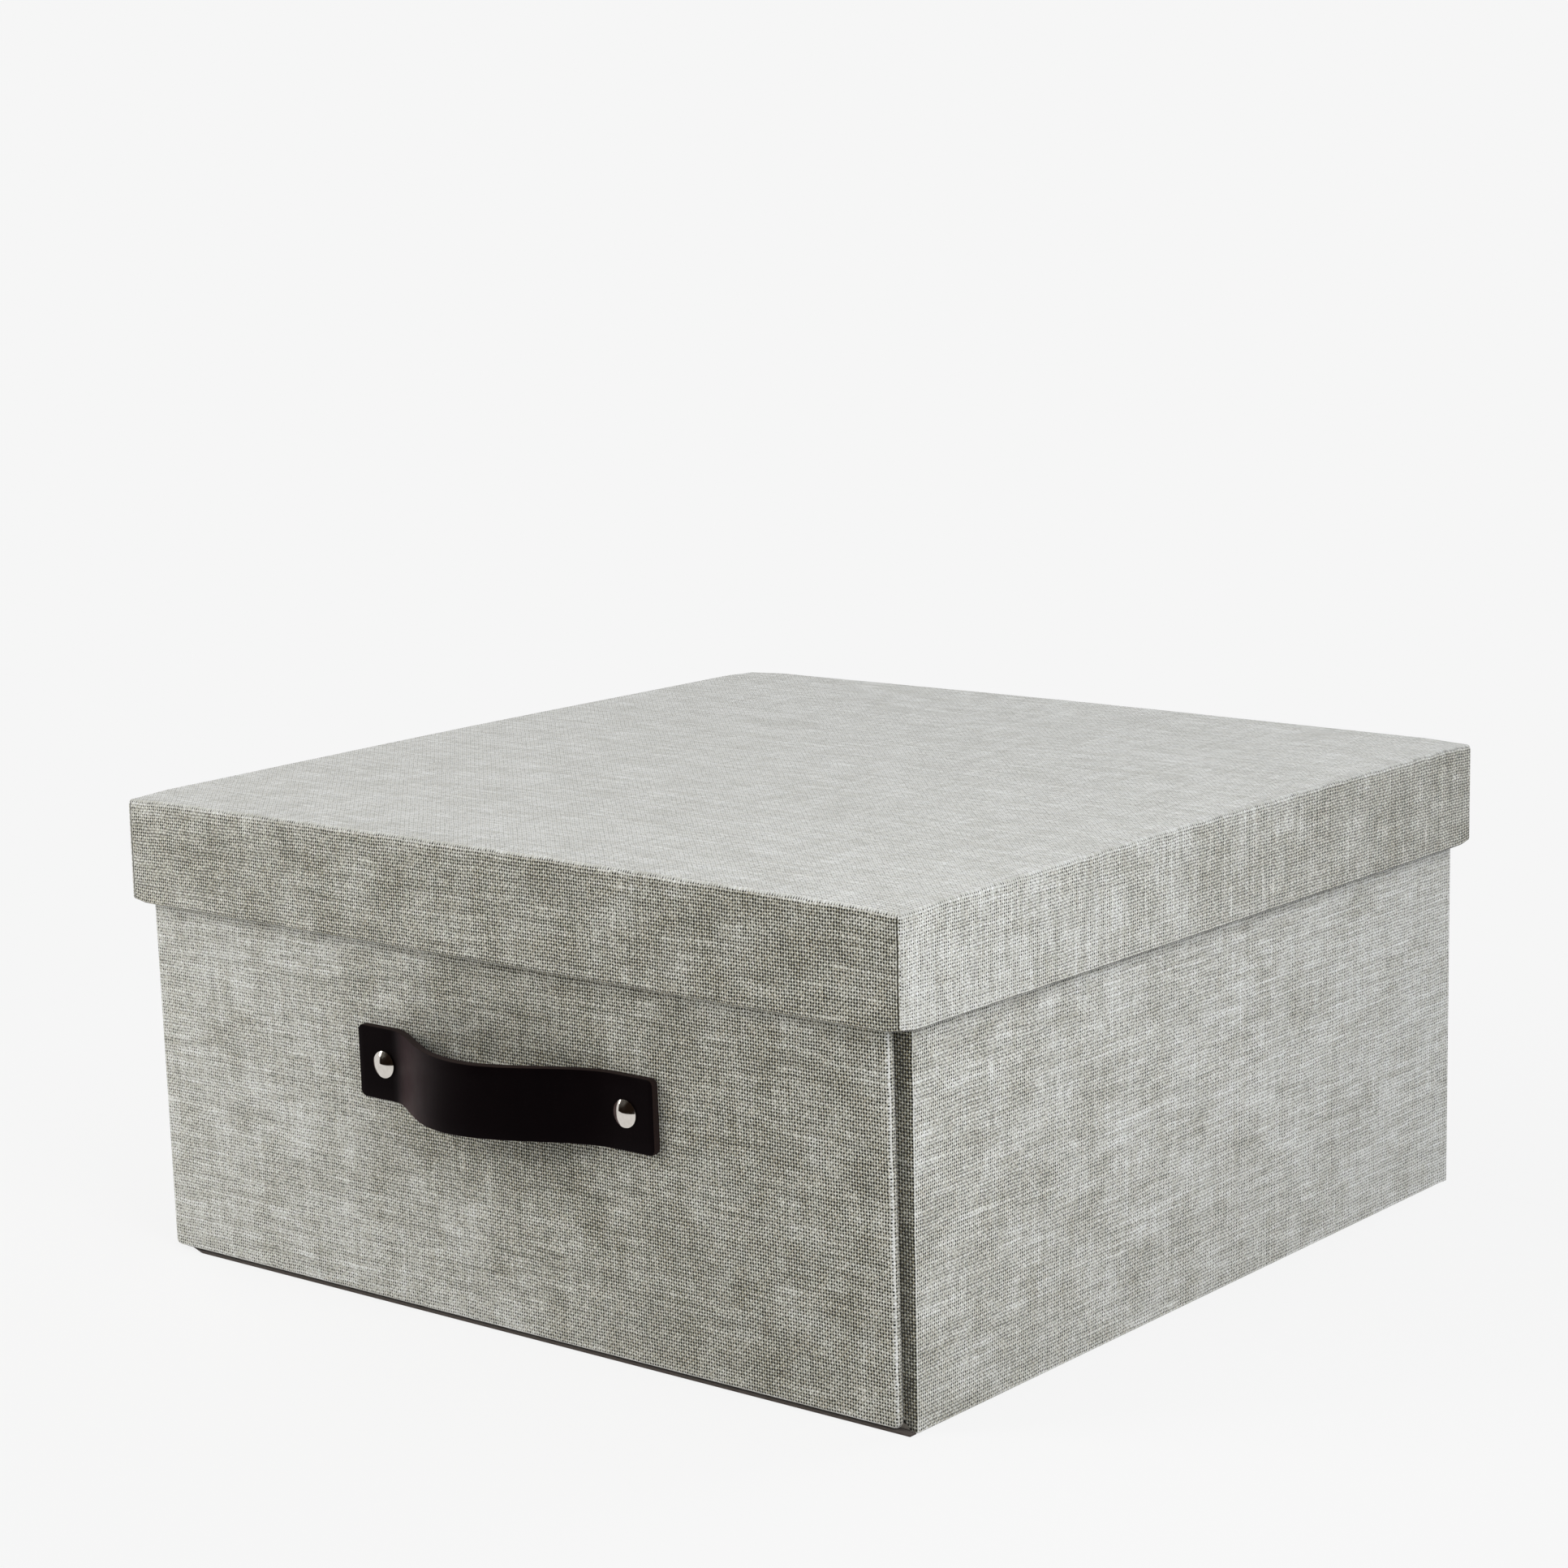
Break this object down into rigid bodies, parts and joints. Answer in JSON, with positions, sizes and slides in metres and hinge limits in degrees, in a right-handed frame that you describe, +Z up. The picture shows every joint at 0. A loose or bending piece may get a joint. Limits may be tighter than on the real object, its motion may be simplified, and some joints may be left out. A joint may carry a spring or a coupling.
{
  "type": "lidded canvas storage box",
  "caption": "Square low storage box of greyboard covered in grey woven canvas, with a lift-off lid, a drop-front panel and a riveted leather strap handle.",
  "frame": {"origin": "on the underside of the base, under the middle of the lid, so the floor is z = 0", "axes": "+X to the right of someone who faces the front, -Y out of the front panel, +Z up"},
  "size_m": [0.33, 0.3501, 0.16],
  "materials": {
    "canvas": "plain-woven grey canvas, matte",
    "greyboard": "pressed pulp greyboard, matte",
    "lining": "uncoated dark paper, matte",
    "dark_cloth": "dark brown binding cloth, matte",
    "leather": "dark brown leather, soft sheen",
    "nickel": "polished nickel plate",
    "fastener_tape": "hook and loop tape, matte"
  },
  "bodies": {
    "box": {"left_wall_cover": "canvas", "left_wall_board": "greyboard", "left_flap_board": "greyboard", "left_wall_liner": "lining", "right_wall_cover": "canvas", "right_wall_board": "greyboard", "right_flap_board": "greyboard", "right_wall_liner": "lining", "back_wall_cover": "canvas", "back_wall_board": "greyboard", "back_wall_liner": "lining", "back_left_corner_stay": "lining", "back_right_corner_stay": "lining", "base_wrap": "dark_cloth", "base_board": "greyboard", "base_liner": "lining", "front_hinge_cloth": "dark_cloth", "front_panel_cover": "canvas", "front_panel_board": "greyboard", "front_panel_liner": "lining", "handle_strap": "leather", "left_rivet": "nickel", "right_rivet": "nickel", "left_rivet_back": "nickel", "right_rivet_back": "nickel", "left_hook_pad": "fastener_tape", "right_hook_pad": "fastener_tape", "left_loop_pad": "fastener_tape", "right_loop_pad": "fastener_tape"},
    "lid": {"lid_cover": "canvas", "lid_top_board": "greyboard", "lid_front_board": "greyboard", "lid_back_board": "greyboard", "lid_left_board": "greyboard", "lid_right_board": "greyboard", "lid_liner": "lining"}
  },
  "joints": [
    {"name": "lid_lift", "type": "slide", "parent": "box", "child": "lid", "axis": [0, 0, 1], "range_m": [0, 0.25]}
  ]
}
